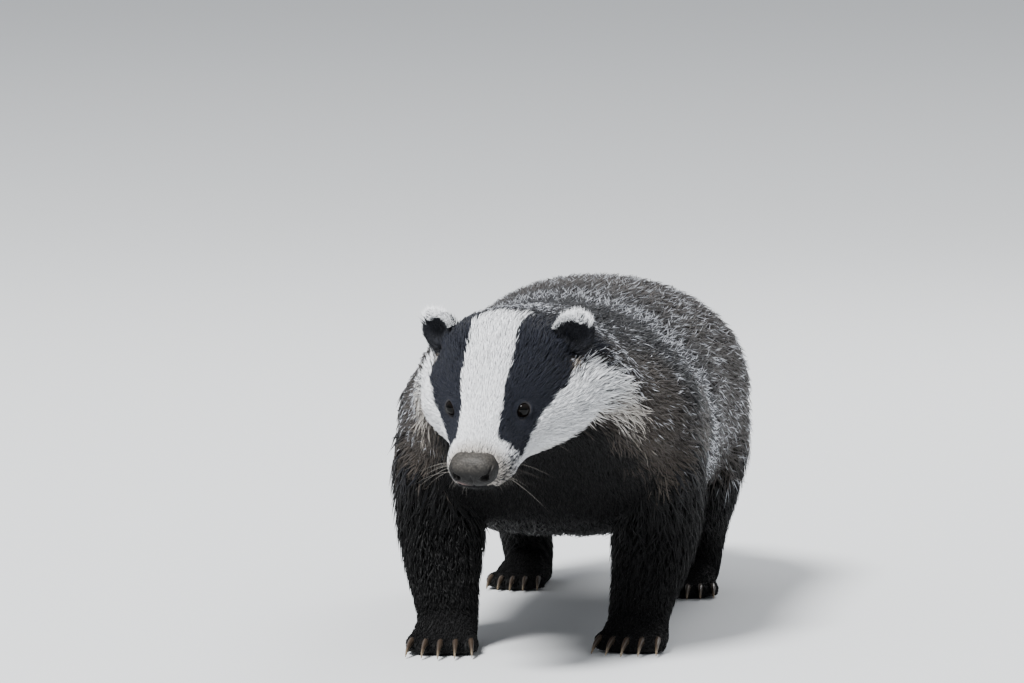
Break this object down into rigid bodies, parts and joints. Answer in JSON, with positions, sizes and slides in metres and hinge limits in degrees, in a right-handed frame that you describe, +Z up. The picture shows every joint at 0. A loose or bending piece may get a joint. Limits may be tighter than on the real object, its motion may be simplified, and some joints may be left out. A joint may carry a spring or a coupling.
{
  "type": "european badger model",
  "caption": "Life-size still model of a European badger standing on four feet with its striped head lowered.",
  "frame": {"origin": "on the floor, under the middle of the animal's bounding box", "axes": "+Z up, the animal looks along -Y and its left side is towards +X"},
  "size_m": [0.2378, 0.729, 0.2648],
  "materials": {
    "white_coat": "short dense white fur",
    "grey_coat": "long coarse grizzled grey fur",
    "black_coat": "short dense black fur",
    "nose_skin": "damp pebbled skin",
    "eye": "wet black",
    "claw": "dull horn"
  },
  "bodies": {
    "root": {"torso": "grey_coat", "neck": "grey_coat", "tail": "grey_coat", "head": "white_coat", "nose": "nose_skin", "ear_left": "black_coat", "ear_right": "black_coat", "eye_left": "eye", "eye_right": "eye", "foreleg_left": "black_coat", "foreleg_right": "black_coat", "forepaw_left": "black_coat", "forepaw_right": "black_coat", "hindleg_left": "black_coat", "hindleg_right": "black_coat", "hindpaw_left": "black_coat", "hindpaw_right": "black_coat"}
  },
  "joints": []
}
